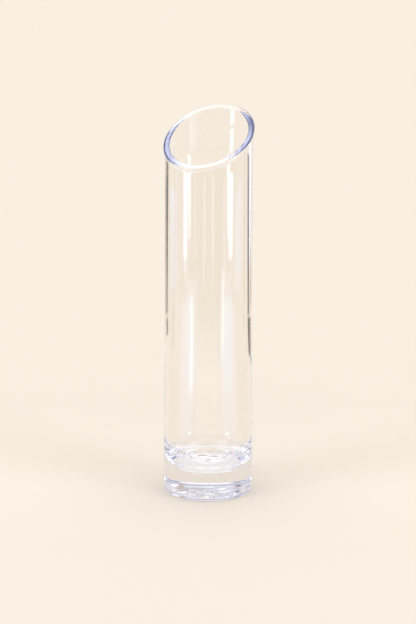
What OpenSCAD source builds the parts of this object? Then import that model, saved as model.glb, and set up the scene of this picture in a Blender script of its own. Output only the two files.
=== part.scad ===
// Clear glass cylinder vase with a slanted mouth and a thick solid base.
// The origin is the centre of the foot, on the surface that the vase stands on.
// +Z is up and the high side of the mouth is towards +Y.
// The glass is one piece, divided level with the top of its rounded bottom
// into the base below and the wall above, which meet face to face.

/* [Outside] */
// Height from the foot to the highest point of the mouth
vase_h = 260; // [200:1:320]
// Outer diameter of the base
vase_d = 60; // [50:1:80]
// How far the straight wall stands in from the base, on each side
narrowing = 0.6; // [0.1:0.1:1.5]
// Height at which the outside has narrowed to the straight wall
taper_top = 100; // [70:1:180]
// Radius that rounds the edge of the foot
foot_round = 1.2; // [0.5:0.1:3]

/* [Mouth] */
// Angle of the cut across the mouth, from level
cut_angle = 30; // [0:1:45]
// How far the lip stands proud of the wall
lip_proud = 0.6; // [0.1:0.1:1.5]
// Depth of the lip below the cut, measured up the wall
lip_h = 3; // [2:0.1:8]
// Radius that rounds the two edges of the lip
lip_round = 0.9; // [0.3:0.1:1.4]

/* [Inside] */
// Thickness of the straight wall
wall_t = 3.4; // [2.4:0.1:5]
// Thickness of the solid glass under the cavity
sole_t = 16.5; // [8:0.5:30]
// Diameter at which the level floor cuts the rounded bottom of the cavity
floor_d = 30; // [16:0.5:34]
// Radius that softens the edge between them
floor_round = 3; // [1:0.1:4.5]

/* [Underside] */
// Diameter of the shallow hollow under the foot
punt_d = 40; // [20:1:46]
// Depth of that hollow
punt_h = 1; // [0.4:0.1:2]

/* [Hidden] */
glass_tint = [0.90, 0.91, 0.97, 0.5];
// How far a cut runs past what it cuts
overrun = 2;
// How far two curved surfaces of the lip cross, so that they never only touch
skim = 0.05;
foot_r = vase_d / 2;
wall_r = foot_r - narrowing;
lip_r = wall_r + lip_proud;
bore_r = wall_r - wall_t;
// The cavity's rounded bottom is half a ball as wide as the bore, cut off by the floor
bowl_h = sqrt(pow(bore_r, 2) - pow(floor_d / 2, 2));
// Level where the base ends and the wall begins
split_z = sole_t + bowl_h;
// Rise of the cut for each unit towards the high side
cut_slope = tan(cut_angle);
// Level of the cut on the axis, from the highest point of the rounded lip
cut_z = vase_h - cut_slope * (lip_r - lip_round) + lip_round - lip_round / cos(cut_angle);
// The floor's rounding touches the ball from inside
floor_drop = bowl_h - floor_round;
floor_r = sqrt(pow(bore_r - floor_round, 2) - pow(floor_drop, 2));
touch_share = bore_r / (bore_r - floor_round);
touch_point = [floor_r * touch_share, split_z - floor_drop * touch_share];
// Radius of the sphere that the hollow under the foot is part of
punt_r = (pow(punt_d / 2, 2) + pow(punt_h, 2)) / (2 * punt_h);
$fa = 2;
$fs = 0.3;

// Profile of the cavity's rounded bottom, right of the axis
module bowl_profile() {
    intersection() {
        translate([0, split_z]) circle(r = bore_r);
        translate([0, touch_point[1]]) square([bore_r, bowl_h + overrun]);
    }
    polygon([
        [0, sole_t], [floor_r, sole_t], [floor_r, sole_t + floor_round],
        touch_point, [0, touch_point[1]],
    ]);
    intersection() {
        translate([floor_r, sole_t + floor_round]) circle(r = floor_round);
        translate([floor_r, sole_t - overrun])
            square([bore_r, touch_point[1] - sole_t + overrun]);
    }
}

// Profile of the outside of the base, right of the axis
module foot_profile() {
    square([foot_r - foot_round, split_z]);
    translate([0, foot_round]) square([foot_r, split_z - foot_round]);
    translate([foot_r - foot_round, foot_round]) circle(r = foot_round);
}

// Heavy foot of the vase: solid sole, rounded floor of the cavity, hollow below
module solid_base() {
    color(glass_tint)
        rotate_extrude()
            difference() {
                foot_profile();
                bowl_profile();
                translate([0, punt_h - punt_r]) circle(r = punt_r);
            }
}

// Leans a level shape into the plane of the cut and keeps its sides upright
module on_the_slant() {
    lean = [
        [1, 0, 0, 0],
        [0, 1, 0, 0],
        [0, cut_slope, 1, cut_z],
        [0, 0, 0, 1],
    ];
    multmatrix(lean) children();
}

// Swelling of the outside below the cut, as a band that sinks into the wall
module lip_band_profile() {
    sunk_r = wall_r - wall_t / 2;
    flare = (lip_proud + skim) / (lip_h - lip_round);
    top_r = lip_r + skim + flare * (lip_round + overrun);
    polygon([
        [sunk_r, -lip_h - (wall_r - sunk_r) / flare],
        [top_r, overrun],
        [sunk_r, overrun],
    ]);
}

// What polishing takes away: all above the cut and outside its rounded edges
module lip_waste_profile() {
    inner_r = bore_r - skim;
    low_z = -lip_h - overrun;
    difference() {
        translate([inner_r - overrun, -lip_h])
            square([lip_r - inner_r + 2 * overrun, vase_h]);
        translate([inner_r, low_z]) square([lip_r - inner_r, -lip_round - low_z]);
        translate([inner_r + lip_round, low_z])
            square([lip_r - inner_r - 2 * lip_round, -low_z]);
        for (x = [inner_r + lip_round, lip_r - lip_round])
            translate([x, -lip_round]) circle(r = lip_round);
    }
}

// Straight tube with its tapered foot, as blown, before the mouth is cut
module blown_tube() {
    translate([0, 0, split_z])
        cylinder(r1 = foot_r, r2 = wall_r, h = taper_top - split_z);
    translate([0, 0, taper_top])
        cylinder(r = wall_r, h = vase_h + overrun - taper_top);
}

// Wall of the vase with its slanted, polished mouth
module vessel_wall() {
    color(glass_tint)
        difference() {
            union() {
                blown_tube();
                on_the_slant() rotate_extrude() lip_band_profile();
            }
            translate([0, 0, split_z - overrun]) cylinder(r = bore_r, h = vase_h);
            on_the_slant() rotate_extrude() lip_waste_profile();
        }
}

vessel_wall();
solid_base();
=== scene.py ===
import math

import bmesh
import bpy
from mathutils import Matrix, Vector, noise


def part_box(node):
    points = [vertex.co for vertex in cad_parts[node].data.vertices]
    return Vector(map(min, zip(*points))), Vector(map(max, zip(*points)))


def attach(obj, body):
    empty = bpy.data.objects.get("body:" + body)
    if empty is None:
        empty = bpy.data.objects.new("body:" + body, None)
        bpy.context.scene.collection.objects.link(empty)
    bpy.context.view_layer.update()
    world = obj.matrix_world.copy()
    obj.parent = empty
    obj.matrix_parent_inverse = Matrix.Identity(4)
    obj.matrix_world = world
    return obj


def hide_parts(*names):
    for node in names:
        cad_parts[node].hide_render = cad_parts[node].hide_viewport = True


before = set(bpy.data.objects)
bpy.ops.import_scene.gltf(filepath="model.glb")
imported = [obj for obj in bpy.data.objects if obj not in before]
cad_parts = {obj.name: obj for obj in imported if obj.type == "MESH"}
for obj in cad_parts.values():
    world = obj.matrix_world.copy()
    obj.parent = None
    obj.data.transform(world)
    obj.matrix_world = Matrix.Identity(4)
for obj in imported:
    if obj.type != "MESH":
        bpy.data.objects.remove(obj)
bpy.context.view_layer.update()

mm = 0.001
baseLow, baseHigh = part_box("solid_base")
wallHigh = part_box("vessel_wall")[1]
scene = bpy.context.scene


def srgb(hexColour, alpha=1.0):
    # sRGB hex, such as "f5ece0", to the linear colour that a socket takes
    def linear(c):
        return c / 12.92 if c <= 0.04045 else ((c + 0.055) / 1.055) ** 2.4
    parts = [int(hexColour[i:i + 2], 16) / 255 for i in (0, 2, 4)]
    return (*[linear(c) for c in parts], alpha)


def addNode(tree, kind, settings=None, inputs=None, links=None, stops=None):
    # settings are attributes, inputs are plain socket values, links come from other
    # sockets, and stops are the places and colours of a colour ramp, the first one at 0
    node = tree.nodes.new(kind)
    for name, value in (settings or {}).items():
        setattr(node, name, value)
    for name, value in (inputs or {}).items():
        node.inputs[name].default_value = value
    for name, source in (links or {}).items():
        tree.links.new(source, node.inputs[name])
    if stops:
        elements = node.color_ramp.elements
        elements.remove(elements[1])
        for position, colour in stops.items():
            stop = elements[0] if position == 0 else elements.new(position)
            stop.color = srgb(colour)
    return node


def newMaterial(name):
    material = bpy.data.materials.new(name)
    material.use_nodes = True
    material.node_tree.nodes.clear()
    return material


def finishMesh(bm, name, material, smooth=True):
    mesh = bpy.data.meshes.new(name)
    bm.to_mesh(mesh)
    bm.free()
    for polygon in mesh.polygons:
        polygon.use_smooth = smooth
    mesh.materials.append(material)
    piece = bpy.data.objects.new(name, mesh)
    scene.collection.objects.link(piece)
    return piece


# Soda-lime glass, blown and fire polished: clear, with a faint blue-violet where light
# runs far inside it, as in the lip and the heavy base
glassLook = {
    "ior": 1.5,
    "roughness": 0.0,
    "surface": "fcfbf9",
    "tint": "7c90d0",
    "tintPerMetre": 1.5,
}


def clearGlass():
    material = newMaterial("blown soda-lime glass")
    tree = material.node_tree
    surface = addNode(tree, "ShaderNodeBsdfPrincipled", inputs={
        "Base Color": srgb(glassLook["surface"]),
        "Roughness": glassLook["roughness"],
        "IOR": glassLook["ior"],
        "Transmission Weight": 1.0,
    })
    body = addNode(tree, "ShaderNodeVolumeAbsorption", inputs={
        "Color": srgb(glassLook["tint"]),
        "Density": glassLook["tintPerMetre"],
    })
    addNode(tree, "ShaderNodeOutputMaterial", links={
        "Surface": surface.outputs["BSDF"],
        "Volume": body.outputs["Volume"],
    })
    return material


# One unbroken glass body, which stands for both CAD nodes. Sizes are in mm, angles in degrees.
vase = {
    "narrowing": 0.6,        # how far the straight wall stands in from the foot
    "taperTop": 100,
    "levelTop": 215,         # the wall's last level ring, under the slanted mouth
    "footRound": 1.2,
    "cutAngle": 30,
    "lipProud": 0.6,
    "lipHeight": 3.0,
    "lipRound": 0.9,
    "lipGuard": 0.4,         # a ring this far under the lip leans with it
    "wallThickness": 3.4,
    "soleThickness": 16.5,
    "floorRound": 3,
    "puntWidth": 40,         # shallow hollow under the foot
    "puntDepth": 1.0,
    "puntStep": 0.25,        # its edge is a small soft step, this high and
    "puntEdge": 0.7,         # this wide
    "puntEdgeShare": (0.25, 0.85),   # where the step bends, of its width and height
    "puntCalm": 1,           # no ripples this near its edge, and the full ones
    "puntFade": 3,           # this much further in
    "puntRipple": 0.8,
    "rippleWave": 6,
    "rippleStart": 3.7,      # moves the pattern of the ripples, in waves
    "rippleTop": 100,        # where the ripples in the wall have died out
    "wallRipple": 0.08,
    "bowlRipple": 0.12,
    "bowlFade": 5,           # from the one depth to the other over this height
    "bowlRings": {10.5: 0.3, 15.6: 0.55, 20.5: 0.6},     # heights by radius
    "ringWidth": 0.6,
    "pickMargin": 0.1,       # a surface's points are picked this far past its edge
    "weldDistance": 0.0005,
    "turns": 320,            # steps round the axis, and below, along the profile
    "steps": {
        "punt": 24, "footRing": 4, "round": 8, "foot": 6, "wall": 8, "lip": 4,
        "upperBore": 6, "lowerBore": 32, "bowl": 90, "floor": 54,
    },
}
footR = (baseHigh.x - baseLow.x) / 2 / mm
wallR = footR - vase["narrowing"]
lipR = wallR + vase["lipProud"]
boreR = wallR - vase["wallThickness"]
splitZ = baseHigh.z / mm


def pen(bm, x, z):
    return bm.verts.new((x, 0, z))


def lineTo(bm, last, x, z, steps=1):
    start = last.co.copy()
    for i in range(1, steps + 1):
        made = bmesh.ops.extrude_vert_indiv(bm, verts=[last])
        last = made["verts"][0]
        last.co = start.lerp(Vector((x, 0, z)), i / steps)
    return last


def arcTo(bm, last, centreX, centreZ, turn, steps):
    # turns the last point round a centre in the profile's plane, by degrees
    made = bmesh.ops.spin(
        bm, geom=[last], cent=(centreX, 0, centreZ), axis=(0, 1, 0),
        angle=math.radians(turn), steps=steps, use_merge=False)
    return made["geom_last"][0]


def vaseProfile(bm):
    # the mouth is drawn level here, and is leaned into its slant after the spin
    v = vase
    steps = v["steps"]
    lipRound = v["lipRound"]
    slope = math.tan(math.radians(v["cutAngle"]))
    rise = lipRound - lipRound / math.cos(math.radians(v["cutAngle"]))
    cutZ = wallHigh.z / mm - slope * (lipR - lipRound) + rise
    # hollow under the foot with its stepped edge, ring that the vase stands on, rounded edge
    puntR = v["puntWidth"] / 2
    domeR = puntR - v["puntEdge"]
    domeRise = v["puntDepth"] - v["puntStep"]
    domeSphere = (domeR ** 2 + domeRise ** 2) / 2 / domeRise
    domeTurn = math.degrees(math.asin(domeR / domeSphere))
    across, up = v["puntEdgeShare"]
    last = pen(bm, 0, v["puntDepth"])
    last = arcTo(bm, last, 0, v["puntDepth"] - domeSphere, domeTurn, steps["punt"])
    last = lineTo(bm, last, domeR + v["puntEdge"] * across, v["puntStep"] * up)
    last = lineTo(bm, last, domeR + v["puntEdge"] * (1 - across), v["puntStep"] * (1 - up))
    last = lineTo(bm, last, puntR, 0)
    last = lineTo(bm, last, footR - v["footRound"], 0, steps["footRing"])
    last = arcTo(bm, last, footR - v["footRound"], v["footRound"], -90, steps["round"])
    # outside, up to the lip
    last = lineTo(bm, last, footR, splitZ, steps["foot"])
    last = lineTo(bm, last, wallR, v["taperTop"], steps["wall"])
    last = lineTo(bm, last, wallR, v["levelTop"], steps["wall"])
    last = lineTo(bm, last, wallR, cutZ - v["lipHeight"] - v["lipGuard"])
    last = lineTo(bm, last, wallR, cutZ - v["lipHeight"])
    last = lineTo(bm, last, lipR, cutZ - lipRound, steps["lip"])
    # lip
    last = arcTo(bm, last, lipR - lipRound, cutZ - lipRound, -90, steps["round"])
    last = lineTo(bm, last, boreR + lipRound, cutZ, steps["lip"])
    last = arcTo(bm, last, boreR + lipRound, cutZ - lipRound, -90, steps["round"])
    # bore
    last = lineTo(bm, last, boreR, cutZ - lipRound - v["lipGuard"])
    last = lineTo(bm, last, boreR, v["levelTop"])
    last = lineTo(bm, last, boreR, v["rippleTop"], steps["upperBore"])
    last = lineTo(bm, last, boreR, splitZ, steps["lowerBore"])
    # rounded bottom, part of a ball, then the floor with its rounded edge
    drop = splitZ - v["soleThickness"] - v["floorRound"]
    inside = boreR - v["floorRound"]
    floorR = math.sqrt(inside ** 2 - drop ** 2)
    bowlTurn = math.degrees(math.asin(drop / inside))
    last = arcTo(bm, last, 0, splitZ, bowlTurn, steps["bowl"])
    last = arcTo(bm, last, floorR, splitZ - drop, 90 - bowlTurn, steps["round"])
    lineTo(bm, last, 0, v["soleThickness"], steps["floor"])
    return slope, cutZ


def mouldRipples(bm):
    # the slow waves that blowing and pressing leave inside the bottom and under the foot,
    # and the low rings in the bottom
    v = vase
    margin = v["pickMargin"]
    calmR = v["puntWidth"] / 2 - v["puntCalm"]
    bm.normal_update()
    for vert in bm.verts:
        radius = math.hypot(vert.co.x, vert.co.y)
        z = vert.co.z
        inside = radius < boreR + margin and z > v["soleThickness"] - margin
        under = radius < calmR and z < v["puntDepth"] + margin
        if not inside and not under or z > v["rippleTop"]:
            continue
        if under:
            depth = v["puntRipple"] * min(1, (calmR - radius) / v["puntFade"])
        elif z > splitZ:
            share = (v["rippleTop"] - z) / (v["rippleTop"] - splitZ)
            depth = v["wallRipple"] * share ** 2
        else:
            share = min(1, (splitZ - z) / v["bowlFade"])
            depth = v["wallRipple"] + (v["bowlRipple"] - v["wallRipple"]) * share
        place = vert.co / v["rippleWave"] + Vector((0, 0, v["rippleStart"]))
        push = noise.noise(place) * depth
        if inside and z < splitZ:
            for ringR, height in v["bowlRings"].items():
                push += height * math.exp(-((radius - ringR) / v["ringWidth"]) ** 2)
        vert.co += vert.normal * push


def vaseBody():
    bm = bmesh.new()
    slope, cutZ = vaseProfile(bm)
    bmesh.ops.spin(
        bm, geom=bm.verts[:] + bm.edges[:], cent=(0, 0, 0), axis=(0, 0, 1),
        angle=math.tau, steps=vase["turns"], use_merge=True)
    bmesh.ops.remove_doubles(bm, verts=bm.verts, dist=vase["weldDistance"])
    # lean the lip into the plane of the cut; the walls stay upright
    lean = Matrix.Identity(4)
    lean[2][1] = slope
    lipFoot = cutZ - vase["lipHeight"] - vase["lipGuard"] - vase["pickMargin"]
    lip = [vert for vert in bm.verts if vert.co.z > lipFoot]
    bmesh.ops.transform(bm, matrix=lean, verts=lip)
    bmesh.ops.recalc_face_normals(bm, faces=bm.faces)
    mouldRipples(bm)
    bmesh.ops.scale(bm, vec=(mm, mm, mm), verts=bm.verts)
    return finishMesh(bm, "glass_vase", clearGlass())


glassVase = vaseBody()
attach(glassVase, "root")
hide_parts("vessel_wall", "solid_base")
print("glass body made:", len(glassVase.data.polygons), "faces")


# Camera of the photograph's view: the high side of the mouth is right of straight back.
# Lengths are in mm and angles in degrees, fitted to the ellipses of the mouth and foot.
view = {
    "azimuth": 22.5,
    "distance": 1400,
    "height": 466.3,
    "pitch": 13.751,
    "roll": 0.159,
    "aside": 0.0116,
    "focalPixels": 2148.2,
    "frameHeight": 624,
    "sensor": 36,
}


def photoCamera():
    data = bpy.data.cameras.new("photo view")
    data.sensor_width = view["sensor"]
    data.lens = view["focalPixels"] * view["sensor"] / view["frameHeight"]
    camera = bpy.data.objects.new("photo view", data)
    scene.collection.objects.link(camera)
    azimuth = math.radians(view["azimuth"])
    camera.location = (
        math.sin(azimuth) * view["distance"] * mm,
        -math.cos(azimuth) * view["distance"] * mm,
        view["height"] * mm)
    turn = Matrix.Rotation(azimuth + math.radians(view["aside"]), 4, "Z")
    tilt = Matrix.Rotation(math.radians(90 - view["pitch"]), 4, "X")
    roll = Matrix.Rotation(math.radians(view["roll"]), 4, "Z")
    camera.rotation_euler = (turn @ tilt @ roll).to_euler()
    scene.camera = camera


photoCamera()

# Plain studio: a wide pale floor, painted a little lighter under the vase than round it as
# painted light that lifts the soft shadow there, a pale world that turns cool overhead with
# painted reflections for the glass, and two soft lamps
studio = {
    "floorWidth": 24,        # in metres
    "floorGap": 0.15,        # mm; glass rests on paper in points only, with air between
    "paperAndPaintedLight": {
        0.00: "f7ede1",      # 400 mm behind the vase and beyond
        0.30: "f7ece0",
        0.52: "fbf1e5",
        0.62: "fdf3e7",      # under the vase
        0.68: "fcf2e6",
        0.80: "faf0e4",
        1.00: "f8eee3",      # 250 mm before it
    },
    "floorBack": 0.40,       # where those stops begin and end, in metres from the vase
    "floorFront": 0.25,
    # seen only by the glass, from the floor's far edge up: the darker bands and the cool,
    # brighter overhead are painted reflections
    "skyStops": {
        0.00: "faf0e3",      # level with the floor's far edge
        0.05: "fafbff",
        0.24: "f4f6ff",
        0.29: "c0c2dc",
        0.34: "c8c8e0",
        0.38: "d4c4b8",
        0.42: "d8c8bc",
        0.46: "f6f6ff",
        0.50: "ffffff",
        0.64: "c8c8e0",
        0.71: "c8c8e0",
        0.79: "ffffff",      # from there to overhead
    },
    "overhead": 1.6,         # how bright the glass sees it overhead, rising between
    "overheadFrom": 0.6,     # this share of the way up and
    "overheadTo": 0.8,       # this one
    "worldLight": 0.93,
    "worldColour": "fffefa",
    "lampStrength": 0.33,
    "lampColour": "e6edff",
    "lampAngle": 25,
    "lampHeight": 35,
    "lampAsides": {"left lamp": -58, "right lamp": 56},
    "cardColumns": 36,
    "cardRows": 4,
    # the light that goes down inside the wall is mirrored over a hundred times on its way
    "bounces": 256,
}


def paleFloor():
    material = newMaterial("matt paper sweep with painted light")
    tree = material.node_tree
    place = addNode(tree, "ShaderNodeTexCoord")
    turned = addNode(tree, "ShaderNodeMapping", {"vector_type": "POINT"}, {
        "Rotation": (0, 0, math.radians(-view["azimuth"]))}, {
        "Vector": place.outputs["Object"]})
    parts = addNode(tree, "ShaderNodeSeparateXYZ", links={
        "Vector": turned.outputs["Vector"]})
    along = addNode(tree, "ShaderNodeMapRange", inputs={
        "From Min": studio["floorBack"], "From Max": -studio["floorFront"]}, links={
        "Value": parts.outputs["Y"]})
    # the paper's tone along the floor, lighter under and round the vase: painted light that
    # lifts the vase's soft shadow there
    ramp = addNode(tree, "ShaderNodeValToRGB", links={
        "Fac": along.outputs["Result"]}, stops=studio["paperAndPaintedLight"])
    paper = addNode(tree, "ShaderNodeBsdfDiffuse", links={"Color": ramp.outputs["Color"]})
    addNode(tree, "ShaderNodeOutputMaterial", links={"Surface": paper.outputs["BSDF"]})
    bm = bmesh.new()
    bmesh.ops.create_grid(bm, x_segments=1, y_segments=1, size=studio["floorWidth"] / 2)
    bmesh.ops.translate(bm, vec=(0, 0, -studio["floorGap"] * mm), verts=bm.verts)
    floor = finishMesh(bm, "floor", material, smooth=False)


def studioWorld():
    # the camera and the glass see the pale paper, which for the glass turns to a cool ceiling
    # overhead with darker violet-grey and tan bands between, painted reflections that only the
    # glass sees; everything else is lit by one plain colour
    world = bpy.data.worlds.new("pale studio")
    world.use_nodes = True
    tree = world.node_tree
    tree.nodes.clear()
    path = addNode(tree, "ShaderNodeLightPath")
    mirrored = addNode(tree, "ShaderNodeMath", {
        "operation": "ADD", "use_clamp": True}, links={
        0: path.outputs["Is Glossy Ray"], 1: path.outputs["Is Transmission Ray"]})
    seen = addNode(tree, "ShaderNodeMath", {"operation": "ADD", "use_clamp": True}, links={
        0: path.outputs["Is Camera Ray"], 1: mirrored.outputs[0]})
    place = addNode(tree, "ShaderNodeTexCoord")
    parts = addNode(tree, "ShaderNodeSeparateXYZ", links={
        "Vector": place.outputs["Generated"]})
    height = addNode(tree, "ShaderNodeMath", {"operation": "MULTIPLY"}, links={
        0: parts.outputs["Z"], 1: mirrored.outputs[0]})
    sky = addNode(tree, "ShaderNodeValToRGB", links={
        "Fac": height.outputs[0]}, stops=studio["skyStops"])
    level = addNode(tree, "ShaderNodeMapRange", {"interpolation_type": "SMOOTHSTEP"}, {
        "From Min": studio["overheadFrom"], "From Max": studio["overheadTo"],
        "To Min": 1.0, "To Max": studio["overhead"]}, {
        "Value": height.outputs[0]})
    shown = addNode(tree, "ShaderNodeBackground", links={
        "Color": sky.outputs["Color"], "Strength": level.outputs["Result"]})
    light = addNode(tree, "ShaderNodeBackground", inputs={
        "Color": srgb(studio["worldColour"]), "Strength": studio["worldLight"]})
    mixed = addNode(tree, "ShaderNodeMixShader", links={
        0: seen.outputs[0], 1: light.outputs[0], 2: shown.outputs[0]})
    addNode(tree, "ShaderNodeOutputWorld", links={"Surface": mixed.outputs[0]})
    scene.world = world


def around(aside, distance, height):
    # a place given by its angle from the camera's side, right of it positive
    azimuth = math.radians(view["azimuth"] + aside)
    return Vector((math.sin(azimuth) * distance, -math.cos(azimuth) * distance, height))


def softLamp(name, aside):
    data = bpy.data.lights.new(name, "SUN")
    data.energy = studio["lampStrength"]
    data.color = srgb(studio["lampColour"])[:3]
    data.angle = math.radians(studio["lampAngle"])
    lamp = bpy.data.objects.new(name, data)
    scene.collection.objects.link(lamp)
    lamp.location = around(aside, 1, math.tan(math.radians(studio["lampHeight"])))
    lamp.rotation_euler = lamp.location.to_track_quat("Z", "Y").to_euler()


# Glowing cards that only the glass sees: painted highlights, painted reflections and painted
# dark lines that stand in for the lamps, flags and shade round the real vase. The bright
# cards are painted highlights and painted light, the dim ones painted shade. Each is
# given by its lower and its upper edge: angle from the camera's side for both ends (right of
# it positive), distance and height in mm; then its level, its colour and the share of its
# width and height that fades out at each edge. A card above the floor shows where the glass
# mirrors it, and an inner one only through the cavity. The two others lie on the floor and
# show through any of the glass.
cards = {
    "left strip": {
        "lower": (-67.2, -61, 620, 34), "upper": (-67.2, -57, 620, 119),
        "level": 8, "colour": "e2ecff", "soft": (0.06, 0.03)},
    "left strip end": {
        "lower": (-67.2, -60, 620, 4), "upper": (-67.2, -60, 620, 50),
        "level": 2.5, "colour": "e2ecff", "soft": (0.1, 0.4)},
    "right strip": {
        "lower": (58.5, 63.5, 620, 34), "upper": (56.5, 65, 620, 119),
        "level": 8, "colour": "e2ecff", "soft": (0.06, 0.03)},
    "right strip end": {
        "lower": (58.5, 63, 620, 4), "upper": (58.5, 63, 620, 50),
        "level": 2, "colour": "e2ecff", "soft": (0.1, 0.4)},
    "tall left strip": {
        "lower": (-76, -67.5, 620, 118), "upper": (-76, -67.5, 620, 220),
        "level": 10, "colour": "e2ecff", "soft": (0.1, 0.1)},
    "tall right strip": {
        "lower": (36, 62, 620, 118), "upper": (36, 62, 620, 220),
        "level": 1.7, "colour": "e2ecff", "soft": (0.2, 0.1)},
    "left low strip": {
        "lower": (-50, -40, 230, 2), "upper": (-50, -40, 660, 2),
        "level": 4, "colour": "e2ecff", "soft": (0.25, 0.25)},
    "left pool": {
        "lower": (-92, -28, 110, 1), "upper": (-80, -34, 660, 1),
        "level": 1.85, "colour": "d8e6ff", "soft": (0.25, 0.2)},
    "right pool": {
        "lower": (20, 92, 110, 1), "upper": (30, 76, 660, 1),
        "level": 1.85, "colour": "d8e6ff", "soft": (0.25, 0.2)},
    "front pool": {
        "lower": (-40, 40, 90, 3), "upper": (-40, 40, 430, 3),
        "level": 1.35, "colour": "ffffff", "soft": (0.2, 0.3)},
    "left side": {
        "lower": (-122, -92, 600, 5), "upper": (-122, -92, 600, 106),
        "level": 1.5, "colour": "d8e6ff", "soft": (0.3, 0.05)},
    "right side": {
        "lower": (66, 98, 600, 5), "upper": (66, 98, 600, 106),
        "level": 1.5, "colour": "d8e6ff", "soft": (0.3, 0.05)},
    "front rim": {
        "lower": (-169, -129, 150, 600), "upper": (-156, -134, 240, 600),
        "level": 7, "colour": "f0f3ff", "soft": (0.12, 0.1)},
    "left rim": {
        "lower": (-156, -147, 220, 598), "upper": (-156, -147, 245, 598),
        "level": 9, "colour": "f0f3ff", "soft": (0.2, 0.2)},
    "back rim": {
        "lower": (-164, -150, 205, 601), "upper": (-164, -150, 270, 601),
        "level": 2.5, "colour": "f0f3ff", "soft": (0.15, 0.15)},
    "left flag": {
        "lower": (-155.2, -145.4, 500, 0), "upper": (-149.3, -138.3, 840, 96),
        "level": 0.02, "colour": "e8d8c6", "soft": (0.08, 0.03)},
    "left outer flag": {
        "lower": (-160, -154.5, 500, 0), "upper": (-157, -149, 840, 96),
        "level": 0.7, "colour": "e8d8c6", "soft": (0.2, 0.03)},
    # a dark card: painted shade that the foot mirrors as a small dark blob
    "foot shade flag": {
        "lower": (-156, -146, 500, 35), "upper": (-156, -146, 500, 140),
        "level": 0.05, "colour": "d8c8b8", "soft": (0.2, 0.2)},
    "left foot": {
        "lower": (-152, -142, 420, 1), "upper": (-154, -143.5, 505, 1),
        "level": 0.02, "colour": "e8d8c6", "soft": (0.1, 0.2)},
    "right flag": {
        "lower": (134.2, 142.8, 500, 0), "upper": (126, 136.5, 840, 96),
        "level": 0.02, "colour": "e8d8c6", "soft": (0.06, 0.03)},
    "right back card": {
        "lower": (143, 152, 520, 20), "upper": (137.5, 152, 520, 190),
        "level": 1.5, "colour": "f0f3ff", "soft": (0.12, 0.3)},
    "right outer flag": {
        "lower": (148, 159, 505, 0), "upper": (152, 160, 505, 190),
        "level": 0.7, "colour": "e8d8c6", "soft": (0.25, 0.1)},
    "right foot": {
        "lower": (142, 157, 335, 1), "upper": (133, 150, 510, 1),
        "level": 0.05, "colour": "e8d8c6", "soft": (0.1, 0.1)},
    "front shade": {
        "lower": (-95, 95, 320, 0.5), "upper": (-95, 95, 3000, 0.5),
        "level": 0.95, "colour": "e8d8c6", "soft": (0.15, 0.12)},
    "left sheen": {
        "lower": (-16, -9, 620, 4), "upper": (-16, -9, 620, 119),
        "level": 1.35, "colour": "ffffff", "soft": (0.3, 0.1)},
    "middle sheen": {
        "lower": (7, 14.5, 620, 4), "upper": (7, 14.5, 620, 119),
        "level": 1.35, "colour": "ffffff", "soft": (0.3, 0.1)},
    "right sheen": {
        "lower": (36, 48, 620, 4), "upper": (36, 48, 620, 119),
        "level": 1.35, "colour": "ffffff", "soft": (0.3, 0.1)},
    "under light": {
        "lower": (-90, 90, -33, -0.09), "upper": (-90, 90, 33, -0.09),
        "level": 1.0, "colour": "f6f3f2", "soft": (0.001, 0.05)},
    "under ring": {
        "lower": (-90, 90, -15, -0.07), "upper": (-90, 90, 15, -0.07),
        "level": 1.12, "colour": "f8f8ff", "soft": (0.001, 0.15), "inner": True},
    "under left": {
        "lower": (-130, -50, 10, -0.07), "upper": (-130, -50, 30, -0.07),
        "level": 1.12, "colour": "f8f8ff", "soft": (0.25, 0.2), "inner": True},
    "under right": {
        "lower": (50, 130, 10, -0.07), "upper": (50, 130, 30, -0.07),
        "level": 1.12, "colour": "f8f8ff", "soft": (0.25, 0.2), "inner": True},
    "under shade": {
        "lower": (150, 210, 2.5, -0.06), "upper": (155, 205, 6.5, -0.06),
        "level": 0.45, "colour": "c0c8e8", "soft": (0.3, 0.4), "inner": True},
    "back shade": {
        "lower": (105, 255, 14.5, -0.05), "upper": (105, 255, 19.5, -0.05),
        "level": 0.4, "colour": "e8d4ba", "soft": (0.15, 0.3), "inner": True},
    "back line": {
        "lower": (105, 255, 27, -0.05), "upper": (105, 255, 33, -0.05),
        "level": 0.6, "colour": "c0b8d4", "soft": (0.15, 0.3), "inner": True},
    # painted light on the floor just behind the foot, seen through the glass where the vase's
    # own shadow would darken it
    "back floor glow": {
        "lower": (100, 260, 32, -0.06), "upper": (100, 260, 50, -0.06),
        "level": 1.03, "colour": "f0e4d6", "soft": (0.2, 0.05)},
    "back light": {
        "lower": (152, 208, 47, -0.04), "upper": (152, 208, 58, -0.04),
        "level": 1.14, "colour": "f4f6ff", "soft": (0.2, 0.25), "inner": True},
    "back light left": {
        "lower": (-180, -166, 51, -0.03), "upper": (-146, -134, 28, -0.03),
        "level": 1.15, "colour": "f4f6ff", "soft": (0.3, 0.15), "inner": True},
    "back light right": {
        "lower": (166, 180, 51, -0.02), "upper": (134, 146, 28, -0.02),
        "level": 1.15, "colour": "f4f6ff", "soft": (0.3, 0.15), "inner": True},
}


# What a ray must have met to see a card: one mirroring, or more than the two passes
# through the surface that lead straight through the solid base
sights = {
    "mirrored": ("Glossy Depth", 0.5),
    "inner": ("Transmission Depth", 2.5),
}
half = 0.5                   # of a card's width or height


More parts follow.
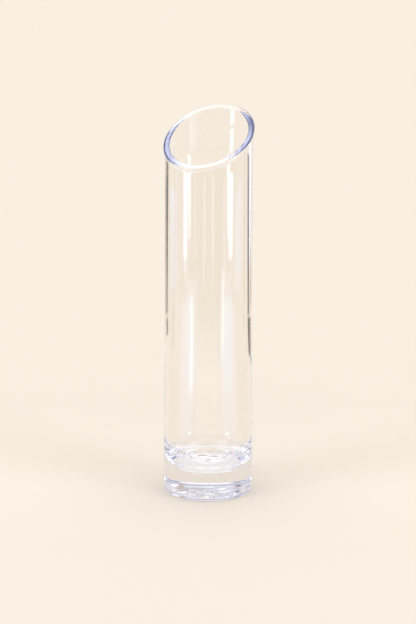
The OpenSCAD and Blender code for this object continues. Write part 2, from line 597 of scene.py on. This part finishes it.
def cardMaterial(name, card):
    material = newMaterial(name + " card")
    tree = material.node_tree
    place = addNode(tree, "ShaderNodeUVMap")
    parts = addNode(tree, "ShaderNodeSeparateXYZ", links={"Vector": place.outputs["UV"]})
    fades = []
    for axis, soft in zip("XY", card["soft"]):
        middle = addNode(tree, "ShaderNodeMath", {"operation": "PINGPONG"}, {1: half}, {
            0: parts.outputs[axis]})
        fades.append(addNode(tree, "ShaderNodeMapRange", {
            "interpolation_type": "SMOOTHSTEP"}, {"From Max": soft}, {
            "Value": middle.outputs[0]}))
    fade = addNode(tree, "ShaderNodeMath", {"operation": "MULTIPLY"}, links={
        0: fades[0].outputs["Result"], 1: fades[1].outputs["Result"]})
    height = card["lower"][3]
    kind = "inner" if card.get("inner") else "mirrored" if height >= 0 else None
    if kind:
        depth, least = sights[kind]
        path = addNode(tree, "ShaderNodeLightPath")
        shown = addNode(tree, "ShaderNodeMath", {"operation": "GREATER_THAN"}, {1: least}, {
            0: path.outputs[depth]})
        fade = addNode(tree, "ShaderNodeMath", {"operation": "MULTIPLY"}, links={
            0: fade.outputs[0], 1: shown.outputs[0]})
    # bright cards glow as painted highlights and painted light, dim ones as painted shade;
    # each fades to clear at its edges
    clear = addNode(tree, "ShaderNodeBsdfTransparent")
    glow = addNode(tree, "ShaderNodeEmission", inputs={
        "Color": srgb(card["colour"]), "Strength": card["level"]})
    mixed = addNode(tree, "ShaderNodeMixShader", links={
        0: fade.outputs[0], 1: clear.outputs[0], 2: glow.outputs[0]})
    addNode(tree, "ShaderNodeOutputMaterial", links={"Surface": mixed.outputs[0]})
    return material


def lightCard(name, card):
    bm = bmesh.new()
    bm.loops.layers.uv.new("UVMap")
    bmesh.ops.create_grid(
        bm, x_segments=studio["cardColumns"], y_segments=studio["cardRows"], size=half,
        calc_uvs=True)
    lower, upper = card["lower"], card["upper"]
    for vert in bm.verts:
        u, v = vert.co.x + half, vert.co.y + half
        left, right, distance, height = [a + (b - a) * v for a, b in zip(lower, upper)]
        vert.co = around(left + (right - left) * u, distance * mm, height * mm)
    piece = finishMesh(bm, name.replace(" ", "_"), cardMaterial(name, card))
    piece.visible_camera = False
    piece.visible_diffuse = False
    piece.visible_shadow = False


paleFloor()
studioWorld()
for lampName, lampAside in studio["lampAsides"].items():
    softLamp(lampName, lampAside)
for cardName, cardValues in cards.items():
    lightCard(cardName, cardValues)
print("studio made")

scene.view_settings.view_transform = "Standard"
scene.cycles.max_bounces = studio["bounces"]
scene.cycles.transmission_bounces = studio["bounces"]
scene.cycles.glossy_bounces = studio["bounces"]
